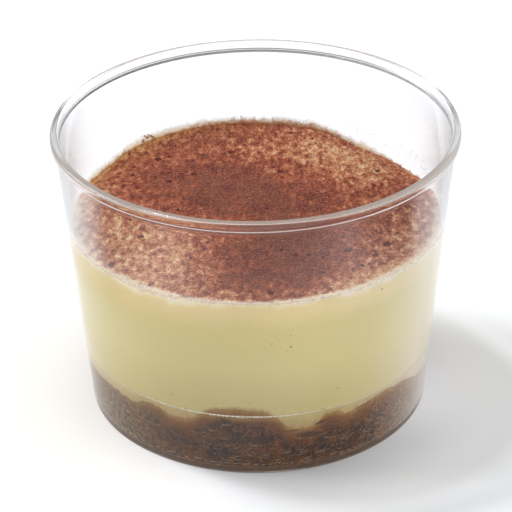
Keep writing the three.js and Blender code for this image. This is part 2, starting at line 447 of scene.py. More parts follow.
def wall_sheet(name, kept, first, last, across, up, spot, inwards=False):
    """A sheet along the food's side from one angle to another. At an angle and a share of the way up, spot
    gives the height, the depth into the wall and the number that is kept."""
    points, values = [], []
    for i in range(across + 1):
        angle = first + (last - first) * i / across
        for j in range(up + 1):
            z, depth, value = spot(angle, j / up)
            points.append(on_wall(angle, z, depth))
            values.append(value)
    faces = grid_faces(across, up)
    if inwards:
        faces = [(a, d, c, b) for a, b, c, d in faces]
    obj = new_piece(name, points, faces)
    store(obj, **{kept: values})
    return obj


def wall_strip(first, last, low, high, chance, depth):
    """A strip of the food's side to scatter on; chance says how thickly at an angle and a height."""

    def spot(angle, share):
        z = low + (high - low) * share
        return z, depth, chance(angle, z)

    return wall_sheet("carrier", "chance", first, last, abs(last - first), int((high - low) / 0.5), spot)


def store(obj, **numbers):
    """Keeps numbers for each point of a mesh, for its material to read."""
    for name, values in numbers.items():
        layer = obj.data.attributes.new(name, "FLOAT", "POINT")
        layer.data.foreach_set("value", np.asarray(values, np.float32))


def points_of(obj):
    """The mesh's points in millimetres, and their angles."""
    co = np.zeros(len(obj.data.vertices) * 3, np.float32)
    obj.data.vertices.foreach_get("co", co)
    place = co.reshape(-1, 3).astype(float) / MM
    return place, np.degrees(np.arctan2(place[:, 1], place[:, 0]))


def finish_piece(obj, material=None, node=None):
    """Gives a piece its material and puts it on the pot's body, in place of the node it stands for."""
    if material:
        obj.data.materials.append(material)
    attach(obj, BODY)
    if node:
        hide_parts(node)


class Value:
    """What a node's output gives. Sums of values add the nodes that work them out, in the same tree."""

    def __init__(self, socket):
        self.socket = socket
        self.tree = socket.id_data

    def __getitem__(self, key):
        return Value(self.socket.node.outputs[key])

    def __add__(self, other):
        return math_node("ADD", self, other)

    def __sub__(self, other):
        return math_node("SUBTRACT", self, other)

    def __rsub__(self, other):
        return math_node("SUBTRACT", other, self)

    def __mul__(self, other):
        return math_node("MULTIPLY", self, other)

    def __gt__(self, other):
        return math_node("GREATER_THAN", self, other)

    def __abs__(self):
        return math_node("ABSOLUTE", self, 0.0)


def add(tree, kind, inputs=None, output=0, **settings):
    """Adds a node to a tree and returns one of its outputs. inputs names its sockets, or counts them, and
    gives each a number, a colour or a value to join."""
    node = tree.nodes.new(kind)
    for key, value in settings.items():
        setattr(node, key, value)
    for key, value in (inputs or {}).items():
        if isinstance(value, Value):
            tree.links.new(value.socket, node.inputs[key])
        else:
            node.inputs[key].default_value = value
    return Value(node.outputs[output]) if node.outputs else None


def tree_of(*values):
    """The tree that values stand in."""
    return next(value.tree for value in values if isinstance(value, Value))


def math_node(operation, first, second):
    """The result of one sum."""
    return add(tree_of(first, second), "ShaderNodeMath", {0: first, 1: second}, operation=operation)


def vector_node(operation, first, second=(0.0, 0.0, 0.0)):
    """The result of one sum of vectors."""
    output = "Value" if operation in ("LENGTH", "DOT_PRODUCT") else "Vector"
    return add(first.tree, "ShaderNodeVectorMath", {0: first, 1: second}, output, operation=operation)


def mix(share, first, second, kind="MIX"):
    """One colour laid over another, by a share from 0 to 1."""
    first, second = ((*c, 1) if isinstance(c, tuple) else c for c in (first, second))
    inputs = {"Factor": share, 6: first, 7: second}
    return add(tree_of(share, first, second), "ShaderNodeMix", inputs, 2, data_type="RGBA", blend_type=kind)


def ramp(value, *stops):
    """A colour ramp: stops are a place with a linear colour, a grey, or the three parts of a screen tone."""
    ramped = add(value.tree, "ShaderNodeValToRGB", {0: value})
    elements = ramped.socket.node.color_ramp.elements
    while len(elements) < len(stops):
        elements.new(0.5)
    for element, (place, *shown) in zip(elements, stops):
        colour = tone(*shown) if len(shown) == 3 else shown[0]
        element.position = place
        element.color = (*colour, 1) if isinstance(colour, tuple) else (colour, colour, colour, 1)
    return ramped


def remap(value, low, high, to_low=0.0, to_high=1.0, smooth=False):
    """Moves a value from one range to another, clamped."""
    kind = "SMOOTHSTEP" if smooth else "LINEAR"
    inputs = {"Value": value, "From Min": low, "From Max": high, "To Min": to_low, "To Max": to_high}
    return add(value.tree, "ShaderNodeMapRange", inputs, interpolation_type=kind)


def step(value, low, high, most=1.0):
    """Rises smoothly from 0 to a most, between two values of another."""
    return remap(value, low, high, 0.0, most, True)


def noise_at(place, scale, detail=3.0, roughness=0.55, distortion=0.0):
    """Noise with a grain of about 1 / scale metres."""
    inputs = {"Vector": place, "Scale": scale, "Detail": detail, "Roughness": roughness}
    return add(place.tree, "ShaderNodeTexNoise", {**inputs, "Distortion": distortion})


def cells_at(place, scale, feature, strength):
    """Uneven cells about 1 / scale metres wide: the distance to their middles or edges. The output Color
    tells them apart."""
    warp = add(place.tree, "ShaderNodeTexNoise", {"Vector": place, "Scale": 1100.0, "Detail": 3.0}, "Color")
    moved = vector_node("MULTIPLY", vector_node("SUBTRACT", warp, (0.5, 0.5, 0.5)), (strength,) * 3)
    inputs = {"Vector": vector_node("ADD", place, moved), "Scale": scale}
    return add(place.tree, "ShaderNodeTexVoronoi", inputs, "Distance", feature=feature)


def numbers_from(tree, *names):
    """Numbers kept on the mesh's points."""
    return [add(tree, "ShaderNodeAttribute", None, "Fac", attribute_name=name) for name in names]


def split(place):
    """The three parts of a vector."""
    parts = add(place.tree, "ShaderNodeSeparateXYZ", {0: place})
    return parts, parts[1], parts[2]


def new_material(name):
    """An empty node material, its tree, and Object coordinates in metres."""
    material = bpy.data.materials.new(name)
    material.use_nodes = True
    tree = material.node_tree
    tree.nodes.clear()
    return material, tree, add(tree, "ShaderNodeTexCoord", None, "Object")


def principled(tree, colour, roughness, **more):
    """A plain shader; more holds its other sockets, with _ for spaces."""
    inputs = {"Base Color": colour, "Roughness": roughness}
    inputs.update((name.replace("_", " "), value) for name, value in more.items())
    return add(tree, "ShaderNodeBsdfPrincipled", inputs)


def show(tree, shader):
    """Puts a shader on its material."""
    add(tree, "ShaderNodeOutputMaterial", {"Surface": shader})


def bumpy(height, strength, distance):
    """The normals of a surface with low relief."""
    return add(height.tree, "ShaderNodeBump", {"Height": height, "Strength": strength, "Distance": distance})


def new_group(name, kind, inputs, outputs):
    """An empty node group with named sockets, and its inputs."""
    tree = bpy.data.node_groups.new(name, kind)
    for in_out, sockets in (("INPUT", inputs), ("OUTPUT", outputs)):
        for socket, of in sockets.items():
            tree.interface.new_socket(name=socket, in_out=in_out, socket_type="NodeSocket" + of)
    return tree, add(tree, "NodeGroupInput")


def powder_group():
    """A node group for fine powder: clumps, grain and dark specks from one set of named inputs."""
    if "Powder" in bpy.data.node_groups:
        return bpy.data.node_groups["Powder"]
    inputs = {"Place": "Vector", "Clump Scale": "Float", "Grain Scale": "Float", "Speck Scale": "Float"}
    outputs = dict.fromkeys(("Clumps", "Grain", "Specks"), "Float")
    tree, given = new_group("Powder", "ShaderNodeTree", inputs, outputs)
    longer = vector_node("MULTIPLY", given["Place"], (1.0, 0.58, 1.0))
    clumps = noise_at(longer, given["Clump Scale"], 8.0, 0.78, 0.1)
    grain = noise_at(given["Place"], given["Grain Scale"], 3.0, 0.75)
    distance = cells_at(given["Place"], given["Speck Scale"], "F1", 0.0006)
    chance = add(tree, "ShaderNodeSeparateColor", {"Color": distance["Color"]})
    specks = remap(distance - remap(chance, 0.74, 1.0, 0.0, 0.36), -0.07, 0.02, 1.0, 0.0, True)
    add(tree, "NodeGroupOutput", {"Clumps": clumps, "Grain": grain, "Specks": specks})
    return tree


def powder(place, clump_scale, grain_scale, speck_scale):
    """Clumps, grain and specks of the powder group."""
    inputs = {"Clump Scale": clump_scale, "Grain Scale": grain_scale, "Speck Scale": speck_scale}
    group = add(place.tree, "ShaderNodeGroup", None, node_tree=powder_group())
    node = group.socket.node
    place.tree.links.new(place.socket, node.inputs["Place"])
    for name, value in inputs.items():
        node.inputs[name].default_value = value
    return group["Clumps"], group["Grain"], group["Specks"]


def clear_plastic(tint):
    """Clear glossy plastic. Light falls straight through it to the food. Light that stays caught between its
    faces is a painted glow: an emission in the mean colour of what lies round it, beige in front, near white
    behind, in painted bright and dark bands over the lip's top. Where the wall is seen edge-on the plastic is
    tinted grey as painted shade, most above the food. The lip's underside carries a painted dark line and the
    foot painted dark and light lines, which stand in for what they mirror."""
    material, tree, place = new_material("clear_plastic")
    x, y, z = split(place)
    path = add(tree, "ShaderNodeLightPath")
    empty = remap(z, 0.041, 0.044)
    # Painted shade: the plastic is tinted grey where the wall is seen edge-on, more so above the food
    along = mix(empty, (0.84, 0.84, 0.835), (0.44, 0.44, 0.435))
    facing = add(tree, "ShaderNodeLayerWeight", {"Blend": 0.5}, "Facing")
    body = mix(step(facing, 0.45, 0.9), tint, along)
    outwards = vector_node("LENGTH", vector_node("MULTIPLY", place, (1.0, 1.0, 0.0)))
    # Painted dark line under the lip's outer edge, standing in for what it mirrors: brown in front, near
    # black behind at the left
    from_line = abs(z - LIP_LINE) - remap(y, -0.002, 0.010, 0.0, 0.00007)
    lip = remap(from_line, 0.00014, 0.00022, 1.0, 0.0) * remap(outwards, 0.03885, 0.03895)
    behind = mix(remap(x, -0.030, 0.028), (0.01, 0.01, 0.012), (0.16, 0.16, 0.17))
    body = mix(lip, body, mix(remap(y, -0.012, -0.002), (0.56, 0.44, 0.38), behind))
    warmed = remap(z, 0.0125, 0.0105) * remap(y, -0.020, -0.029)
    body = mix(warmed, body, (0.99, 0.95, 0.90))
    handled = remap(noise_at(place, 55.0, 4.0), 0.35, 0.7, 0.0, 0.008) + remap(z, 0.0576, 0.0586, 0.0, 0.19)
    plastic = principled(tree, body, handled, IOR=1.5, Transmission_Weight=1.0)

    leaving = step(vector_node("DOT_PRODUCT", place, (0.92, -0.40, 0.0)), 0.002, 0.022)
    dimmed = mix(empty, (0.965, 0.965, 0.97), mix(leaving, (0.86, 0.86, 0.865), (0.62, 0.62, 0.63)))
    through = add(tree, "ShaderNodeBsdfTransparent", {"Color": dimmed})
    open_rays = math_node("MAXIMUM", path["Is Shadow Ray"], path["Is Diffuse Ray"])
    open_rays = math_node("MAXIMUM", open_rays, path["Ray Depth"] > 6.5)
    mixed = add(tree, "ShaderNodeMixShader", {0: open_rays, 1: plastic, 2: through})

    # Painted glow: light caught between the faces is drawn as an emission, darker near the foot, with painted
    # bright and dark bands over the lip's top
    caught = ramp(
        remap(y, -0.040, 0.030),
        (0.0, (0.44, 0.33, 0.28)), (0.25, (0.47, 0.40, 0.36)),
        (0.5, (0.52, 0.49, 0.47)), (0.9, (0.94, 0.94, 0.95)),
    )
    caught = mix(remap(z, 0.004, 0.001), caught, (0.30, 0.24, 0.19))
    bands = ((0.0, 1.0), (0.2, 0.9), (0.36, 0.7), (0.55, 1.0), (0.72, 0.8), (0.86, 1.0), (1.0, 0.85))
    bands = ramp(remap(z, 0.0566, 0.059), *bands)
    glow = add(tree, "ShaderNodeEmission", {"Color": mix(1.0, caught, bands, "MULTIPLY")})
    total = add(tree, "ShaderNodeFresnel", {"IOR": 1.5}) > 0.97
    kept = total * (path["Ray Depth"] > 1.5) * (1.0 - open_rays)
    whole = add(tree, "ShaderNodeMixShader", {0: kept, 1: mixed, 2: glow})

    # Painted lines at the foot, seen by the camera only: a dark line at the very bottom and a light line
    # above it
    low = remap(z, 0.0, 0.001)
    dark = (0.035, 0.028, 0.022)
    foot = ramp(low, (0.0, dark), (0.42, dark), (0.5, (0.50, 0.47, 0.43)), (0.8, (0.42, 0.39, 0.35)))
    foot = add(tree, "ShaderNodeEmission", {"Color": foot})
    share = ramp(low, (0.0, 0.75), (0.42, 0.7), (0.47, 0.2), (0.54, 0.7), (0.66, 0.6), (0.78, 0.0))
    share = share * path["Is Camera Ray"] * remap(noise_at(place, 60.0, 3.0), 0.42, 0.60, 0.25, 1.0)
    show(tree, add(tree, "ShaderNodeMixShader", {0: share, 1: whole, 2: foot}))
    return material


def cocoa_powder():
    """Cocoa powder of changing thickness over cream: pale where thin, red-brown and dull where thick."""
    material, tree, place = new_material("cocoa_powder")
    clumps, grain, specks = powder(place, 900.0, 1800.0, 400.0)
    cover, loose, fringe, pale = numbers_from(tree, "cover", "loose", "fringe", "pale")
    thickness = ((clumps - 0.5) * 2.6 + (grain - 0.5)) * loose + cover
    amount = remap(thickness, 0.0, 1.25)
    warm = ramp(
        amount,
        (0.0, 244, 218, 176), (0.18, 230, 188, 142), (0.34, 206, 146, 108), (0.50, 184, 110, 82),
        (0.64, 154, 84, 62), (0.80, 124, 60, 48), (1.0, 92, 44, 38),
    )
    dull = ramp(
        amount,
        (0.0, 236, 204, 168), (0.36, 196, 142, 112), (0.60, 150, 96, 78), (0.76, 128, 78, 64),
        (0.88, 112, 66, 56), (1.0, 94, 54, 48),
    )
    colour = mix(step(cover, 0.80, 0.98), warm, dull)
    cool = step(noise_at(place, 210.0, 4.0, 0.65), 0.52, 0.64, 0.65) * remap(thickness, 0.6, 0.85)
    colour = mix(cool, colour, tone(108, 56, 54))
    colour = mix(fringe * remap(thickness, 1.0, 0.55), colour, tone(208, 152, 90))
    dots = noise_at(place, 2300.0, 2.0, 0.6)
    colour = mix(remap(dots, 0.53, 0.66, 0.0, 0.6), colour, tone(176, 116, 92))
    colour = mix(remap(dots, 0.46, 0.34, 0.0, 0.7), colour, tone(84, 40, 34))
    colour = mix(specks * 0.85, colour, tone(78, 34, 30))
    colour = mix(pale * remap(thickness, 0.95, 0.35, 0.15, 0.8), colour, tone(236, 224, 208))
    normal = bumpy(grain * 0.8 + clumps, 0.8, 0.0005)
    show(tree, principled(tree, colour, 0.95, Specular_IOR_Level=0.12, Normal=normal))
    return material


def cocoa_grain(name, dark, light):
    """Single grains and lumps of cocoa, from dark to light."""
    material, tree, place = new_material(name)
    clumps, grain, specks = powder(place, 900.0, 3000.0, 460.0)
    colour = mix(specks * 0.5, ramp(clumps, (0.36, *dark), (0.64, *light)), tone(60, 32, 28))
    normal = bumpy(grain, 0.6, 0.0002)
    show(tree, principled(tree, colour, 0.85, Specular_IOR_Level=0.3, Normal=normal))
    return material


def mascarpone(food):
    """Pale yellow cream: warmer near the top, whiter where it meets the air, tan where coffee soaked in. It
    is lighter near the top and darker low in the pot, partly its own tone and partly painted light and shade
    from light falling from above. A painted glow lies along its top edge and over the front near the top, and
    a painted pale sheen where its side is seen along the wall.
    """
    material, tree, place = new_material("mascarpone_cream")
    below_top, band, golden, soak, veil, lit = numbers_from(
        tree, "below_top", "band", "golden", "soak", "veil", "glow"
    )
    uneven = noise_at(place, 140.0, 4.0, 0.6)
    depth = (uneven - 0.5) * 2.2 + (noise_at(place, 420.0, 3.0, 0.6) - 0.5) * 1.4 + below_top - band
    below = remap(depth, 0.0, 26.0)
    high, middle, low = tuple(food.cream_high), tuple(food.cream), tuple(food.cream_low)
    # Lighter near the top and darker low in the pot: partly the cream's own tone, partly painted light and
    # shade from light falling from above
    body = ramp(
        below,
        (0.0, 242, 234, 216), (0.015, 242, 230, 202), (0.05, high), (0.10, high),
        (0.24, middle), (0.60, middle), (1.0, low),
    )
    colour = mix(golden, body, tone(220, 196, 116))
    stain = (noise_at(place, 700.0, 5.0, 0.7) - 0.5) * 1.6
    soaked = stain * math_node("MINIMUM", soak, 0.6) + soak
    tan = ramp(soaked, (0.0, 200, 184, 128), (0.5, 182, 156, 106), (0.8, 156, 122, 78), (1.1, 120, 84, 52))
    # Painted pale sheen where the side is seen along the wall, standing in for the plastic's reflection
    colour = mix(veil, mix(remap(soaked, 0.02, 0.30), colour, tan), tone(236, 230, 222))
    # Painted glow: an emission along the top edge, and over the front near the top
    pale = (0.08, 0.072, 0.06)
    edge_light = ramp(below, (0.0, pale), (0.015, pale), (0.07, 0.0))
    glow = mix(1.0, mix(lit, (0.0, 0.0, 0.0), (0.17, 0.125, 0.045)), edge_light, "ADD")
    shader = principled(
        tree,
        colour,
        0.45,
        Specular_IOR_Level=0.1,
        Subsurface_Weight=0.3,
        Subsurface_Radius=(1.0, 0.8, 0.45),
        Subsurface_Scale=0.003,
        Normal=bumpy(uneven, 0.1, 0.0005),
        Emission_Color=glow,
        Emission_Strength=1.0,
    )
    show(tree, shader)
    return material


def soaked_sponge(food):
    """Coffee-soaked sponge: brown crumb, a paler upper edge, dark wet pockets with painted highlights along
    their lower edges, and a fine net of wet lines. Where it is seen along the wall it carries leaning pale
    blotches of painted reflection, painted shade at the left and a painted pale sheen. Its underside at the
    foot carries a painted glow."""
    material, tree, place = new_material("soaked_sponge")
    under, up, along, lean = numbers_from(tree, "under_edge", "up", "along", "lean")
    pocket_depth, lined, haze, dotted, veil, carried = numbers_from(
        tree, "pocket", "lining", "haze", "dotted", "veil", "carried"
    )
    crumb = noise_at(place, 420.0, 7.0, 0.76, 0.4)
    fine = noise_at(place, 1500.0, 3.0, 0.7)
    broad = noise_at(place, 150.0, 3.0, 0.55)
    crumbs = (fine - 0.5) * 0.95 + crumb
    brown = tuple(food.sponge)
    colour = ramp(crumbs, (0.32, 16, 8, 3), (0.45, 42, 22, 8), (0.55, brown), (0.68, 116, 74, 36))
    colour = mix(step(broad, 0.48, 0.62, 0.6), colour, tone(106, 58, 30))

    below = (crumb - 0.5) * 5.0 + (broad - 0.5) * 4.0 + under
    upper = remap(below, 0.6, 4.6, 0.85, 0.0, True)
    colour = mix(upper, colour, mix(fine, tone(110, 68, 38), tone(158, 110, 66)))
    soft = remap((fine - 0.5) * 2.6 + (crumb - 0.5) * 3.0 + under, 0.0, 1.5, 0.8, 0.0, True)
    colour = mix(soft, colour, tone(172, 144, 94))
    at_step = step((crumb - 0.5) * 3.0 + up, 11.9, 13.6, 0.7) * remap(up, 13.8, 14.1, 1.0, 0.2)
    colour = mix(at_step, colour, tone(166, 134, 88))

    net = remap(cells_at(place, 900.0, "DISTANCE_TO_EDGE", 0.0011), 0.01, 0.07, 1.0, 0.0)
    net = net * remap(noise_at(place, 420.0, 3.0, 0.6), 0.40, 0.60, 0.05, 0.9, True)
    net = net * remap(under, 1.0, 4.0, 0.0, 0.75)
    colour = mix(net, colour, tone(150, 108, 72))
    grains = remap(cells_at(place, 1700.0, "DISTANCE_TO_EDGE", 0.0007), 0.02, 0.12, 0.35, 0.0)
    grains = grains * remap(under, 0.6, 2.5) * remap(broad, 0.4, 0.6, 0.4, 1.0)
    colour = mix(grains, colour, tone(120, 82, 48))

    pocket = (noise_at(place, 480.0, 4.0, 0.62) - 0.5) * 1.9 + pocket_depth
    wet = step(pocket, 0.02, 0.50, 0.8)
    colour = mix(wet, colour, mix(fine, tone(50, 36, 32), tone(88, 68, 60)))
    # Painted highlight along the lower edge of each wet pocket
    lining = step(pocket, -0.12, 0.02) * remap(pocket, 0.05, 0.16, 1.0, 0.0, True) * lined
    lining = lining * remap(noise_at(place, 500.0, 2.0), 0.38, 0.6, 0.15, 0.75, True)
    colour = mix(lining, colour, tone(178, 148, 116))

    unrolled = add(tree, "ShaderNodeCombineXYZ", {0: up * lean + along, 1: up * 0.75})
    blotch = step(noise_at(unrolled, 1.5, 5.0, 0.66, 0.3), 0.47, 0.57)
    # Painted shade at the left and leaning pale blotches of painted reflection, where the side is seen along
    # the wall
    colour = mix(haze * remap(along, -54.0, -52.0, 0.55, 0.0), colour, tone(44, 28, 16))
    colour = mix(blotch * haze, colour, tone(142, 122, 98))
    colour = mix(remap(along, 4.0, 22.0, 0.9, 0.0, True), colour, (0.90, 0.76, 0.45), "MULTIPLY")
    dots = remap(noise_at(place, 2100.0, 2.0, 0.5), 0.58, 0.70, 0.0, 0.5) * dotted
    colour = mix(dots, colour, tone(204, 186, 164))
    # Painted pale sheen where the side is seen along the wall
    colour = mix(veil, colour, tone(216, 206, 198))

    # Painted glow on the underside at the foot, seen through the pot's floor
    foot_light = ramp(fine, (0.3, 48, 36, 26), (0.7, 84, 67, 52))
    shader = principled(
        tree,
        colour,
        remap(wet, 0.0, 1.0, 0.5, 0.2),
        Specular_IOR_Level=0.1,
        Normal=bumpy(crumb, 0.5, 0.0006),
        Emission_Color=mix(carried, (0.0, 0.0, 0.0), foot_light),
        Emission_Strength=1.0,
    )
    show(tree, shader)
    return material


def air_at_wall(name, light, dark, roughness=0.3, scale=1600.0):
    """Pale bubbles and lines against the wall, and painted highlights: glints on the lower edges of bubbles
    and along the step.
    """
    material, tree, place = new_material(name)
    uneven = noise_at(place, scale, 3.0, 0.6)
    show(tree, principled(tree, ramp(uneven, (0.35, *dark), (0.62, *light)), roughness))
    return material


def wall_film(name, stops, grain, most, bits):
    """A thin film on the wall, see-through where it ends, with bits of another tone in it. stops are its
    tones from faint to full, grain how ragged it is, and most how much it hides at full strength."""
    material, tree, place = new_material(name)
    streaks = noise_at(place, 380.0, 3.0, 0.5)
    fine = noise_at(place, 1700.0, 3.0, 0.6)
    there = (fine - 0.5) * grain + (streaks - 0.5) * 0.45 + numbers_from(tree, "fade")[0]
    spots = step(noise_at(place, 1000.0, 3.0, 0.7), 0.56, 0.63, 0.8)
    colour = mix(spots, ramp(there, *stops), tone(*bits))
    alpha = step(there, 0.0, 1.05, most)
    # A faint painted glow of the film's own colour, so it looks lit through
    show(tree, principled(tree, colour, 0.5, Alpha=alpha, Emission_Color=colour, Emission_Strength=0.24))
    return material


def scatter_tree():
    """Geometry nodes that scatter a piece over a surface, as thickly as the surface's own chance allows."""
    if "Scatter" in bpy.data.node_groups:
        return bpy.data.node_groups["Scatter"]
    inputs = {"Geometry": "Geometry", "Piece": "Object", "Seed": "Int", "Finish": "Material"}
    inputs.update(dict.fromkeys(("Density", "Smallest", "Largest", "Spin"), "Float"))
    tree, given = new_group("Scatter", "GeometryNodeTree", inputs, {"Geometry": "Geometry"})

    def random_number(low, high, seed):
        inputs = {2: low, 3: high, "Seed": seed}
        return add(tree, "FunctionNodeRandomValue", inputs, 1, data_type="FLOAT")

    chance = add(tree, "GeometryNodeInputNamedAttribute", {"Name": "chance"}, "Attribute", data_type="FLOAT")
    spots = {"Mesh": given["Geometry"], "Density": chance * given["Density"], "Seed": given["Seed"]}
    points = add(tree, "GeometryNodeDistributePointsOnFaces", spots, "Points")
    spin = random_number(given["Spin"] * -1.0, given["Spin"], given["Seed"])
    turn = add(tree, "FunctionNodeAxisAngleToRotation", {"Axis": (0, 0, 1), "Angle": spin})
    turn = {"Rotation": points["Rotation"], "Rotate By": turn}
    turn = add(tree, "FunctionNodeRotateRotation", turn, rotation_space="LOCAL")
    size = random_number(given["Smallest"], given["Largest"], given["Seed"] + 1.0)
    piece = add(tree, "GeometryNodeObjectInfo", {"Object": given["Piece"], "As Instance": True}, "Geometry")
    placed = {"Points": points, "Instance": piece, "Rotation": turn, "Scale": size}
    placed = add(tree, "GeometryNodeInstanceOnPoints", placed)
    real = add(tree, "GeometryNodeRealizeInstances", {"Geometry": placed})
    finished = add(tree, "GeometryNodeSetMaterial", {"Geometry": real, "Material": given["Finish"]})
    add(tree, "NodeGroupOutput", {"Geometry": finished})
    return tree


def scattered(name, carrier, piece, finish, density, sizes, spin, seed):
    """Scatters a piece over a carrier's faces and makes one plain mesh of them; density is a count for each
    square centimetre. The carrier and the piece are used up."""
    modifier = carrier.modifiers.new("Scatter", "NODES")
    modifier.node_group = scatter_tree()
    values = {"Piece": piece, "Density": density * 1e4, "Smallest": sizes[0], "Largest": sizes[1]}
    values.update({"Spin": spin, "Seed": bpy.context.scene.tiramisu_food.seed + seed, "Finish": finish})
    for socket in modifier.node_group.interface.items_tree:
        if socket.in_out == "INPUT" and socket.name in values:
            modifier[socket.identifier] = values[socket.name]
    evaluated = carrier.evaluated_get(bpy.context.evaluated_depsgraph_get())
    mesh = bpy.data.meshes.new_from_object(evaluated)
    mesh.name = name
    if "chance" in mesh.attributes:
        mesh.attributes.remove(mesh.attributes["chance"])
    carrier.modifiers.remove(modifier)
    for used in (carrier, piece):
        used_mesh = used.data
        bpy.data.objects.remove(used)
        bpy.data.meshes.remove(used_mesh)
    if not len(mesh.polygons):
        raise RuntimeError(f"{name} came out empty")
    obj = bpy.data.objects.new(name, mesh)
    bpy.context.scene.collection.objects.link(obj)
    finish_piece(obj)


def pot_profile(height, rim, lip_fall, floor):
    """Outline of the pot, from the axis below, up the outside, over the lip and down the inside."""
    outer_top, under = height - lip_fall, LIP_UNDERSIDE
    inside_at_rim = wall_radius(height - 0.3) - WALL
    foot, fillet, lower, outer, inner = (
        FOOT_ROUNDING, LIP_FILLET, LIP_LOWER_ROUNDING, LIP_OUTER_ROUNDING, LIP_INNER_ROUNDING
    )
    profile = [(0, 0), (20, 0), (31.8, 0)]
    profile += arc(wall_radius(foot) - foot, foot, foot, -90, -5, 8)
    profile += [(wall_radius(z), z) for z in (2, 6, 14, 26, 38, 50, under - 1.2, under - 0.5)]
    profile += arc(wall_radius(under) + fillet, under - fillet, fillet, 180, 90, 5)
    profile += arc(rim - lower, under + lower, lower, -90, 0, 8)
    profile += arc(rim - outer, outer_top - outer, outer, 0, 85, 9)
    profile += arc(inside_at_rim + inner, height - inner, inner, 85, 180, 8)
    profile += [(inside_radius(z), z) for z in (57.5, 50, 38, 26, 16, 14.4, 14.1, 13.8, 13.4, 8, 4)]
    profile += arc(inside_radius(floor + CORNER) - CORNER, floor + CORNER, CORNER, 0, -90, 8)
    return profile + [(20, floor), (0, floor)]


class TIRAMISU_OT_pot(bpy.types.Operator):
    """Build the clear pot"""

    bl_idname = "tiramisu.pot"
    bl_label = "Clear pot"

    def execute(self, context):
        pot = context.scene.tiramisu_pot
        sizes = (pot.height, pot.rim_radius, pot.lip_fall, pot.floor_thickness)
        profile = pot_profile(*(size / MM for size in sizes))
        obj = turned("clear_pot", [profile] * pot.segments)
        finish_piece(obj, clear_plastic(tuple(pot.tint)), "cup")
        return {"FINISHED"}


def round_steps():
    """Angles in radians at which the food's layers are drawn, in even steps."""
    segments = 900
    return (2 * np.pi * np.arange(segments) / segments).tolist()


def sponge_ring(angle, rows):
    """Outline of the sponge at an angle in radians."""
    edge = sponge_edge(angle)
    foot = food_radius(FLOOR + CORNER)
    ring = [(r, FLOOR - INTO_WALL) for r in (0, 20, 26, 30.8)]
    corner = arc(foot - CORNER, FLOOR + CORNER, CORNER + INTO_WALL, -90, 0, 6)
    ring += [(min(r, foot), z) for r, z in corner]
    side = [*np.linspace(FLOOR + CORNER, edge - 0.08, rows)[1:], edge - 0.02, edge]
    ring += [(food_radius(z), z) for z in side]
    return ring + sponge_top(edge, (0.985, 0.95, 0.9, 0.8, 0.6, 0.3)) + [(0, SPONGE_LEVEL)]


def wet_pockets(degrees, z):
    """How deep each point lies in a wet pocket: 1 at its middle, 0 at its rim, down to -1 away from it."""
    depth = np.full(len(z), -1.0)
    for angle, level, half_length, half_height, turn in WET_POCKETS:
        u = np.radians((degrees - angle + 180) % 360 - 180) * ROUND_WALL
        along, across = turned_by(u, z - level, turn)
        depth = np.maximum(depth, 1 - np.sqrt((along / half_length) ** 2 + (across / half_height) ** 2))
    return depth


class TIRAMISU_OT_sponge(bpy.types.Operator):
    """Build the soaked sponge layer"""

    bl_idname = "tiramisu.sponge"
    bl_label = "Soaked sponge"

    def execute(self, context):
        rows = 52
        obj = turned("soaked_sponge", [sponge_ring(angle, rows) for angle in round_steps()])
        place, degrees = points_of(obj)
        outwards, z = np.hypot(place[:, 0], place[:, 1]), place[:, 2]
        pocket = wet_pockets(degrees, z)
        left, from_front, seen = np.abs(degrees) > 90, turn_from_front(degrees), not_behind(degrees)
        haze = np.where(left, (from_front - 28) / 22, (from_front - 40) / 24)
        under_floor = np.clip((outwards - 20) / 6, 0, 1)
        # Besides real marks, these numbers place painted light and shade: highlights on the pockets, glare
        # and shade and a pale sheen along the wall, and a glow at the foot
        store(
            obj,
            pocket=pocket,
            lining=np.clip(wet_pockets(degrees, z + 0.3) - pocket, 0, 0.2) * 5,
            haze=np.clip(haze, 0, 1) * seen,
            dotted=np.where(left, 0.0, np.clip((from_front - 22) / 30, 0, 1)) * seen,
            along=np.radians(degrees) * ROUND_WALL,
            up=z,
            lean=np.where(left, 0.45, -0.3),
            veil=side_veil(degrees) * np.where(left, 0.12, 1.3),
            carried=np.where(z < FLOOR, under_floor, np.clip((2.3 - z) / 0.9, 0, 1) * 0.6),
            under_edge=np.array([sponge_edge(a) for a in np.radians(degrees)]) - z,
        )
        finish_piece(obj, soaked_sponge(context.scene.tiramisu_food), "sponge")
        return {"FINISHED"}


def cream_ring(angle, level, rim):
    """Outline of the cream at an angle in radians."""
    edge, top = sponge_edge(angle), food_edge(angle, level, rim)
    side = [edge - 0.05, edge - 0.03, *np.linspace(edge, edge + 5, 27)]
    side += [*np.linspace(edge + 6, top - 1.8, 22), *np.linspace(top - 1.6, top - 0.03, 10)]
    ring = [(0, SPONGE_LEVEL)] + sponge_top(edge, (0.3, 0.6, 0.8, 0.9, 0.95))
    ring += [(food_radius(z) - 0.005, z) for z in side]
    for share in (0.99, 0.96, 0.9, 0.8, 0.5):
        x, y = rim * share * math.cos(angle), rim * share * math.sin(angle)
        ring.append((rim * share, food_top(x, y, level, rim) - CREAM_UNDER_COCOA))
    return ring + [(0, level - CREAM_UNDER_COCOA)]


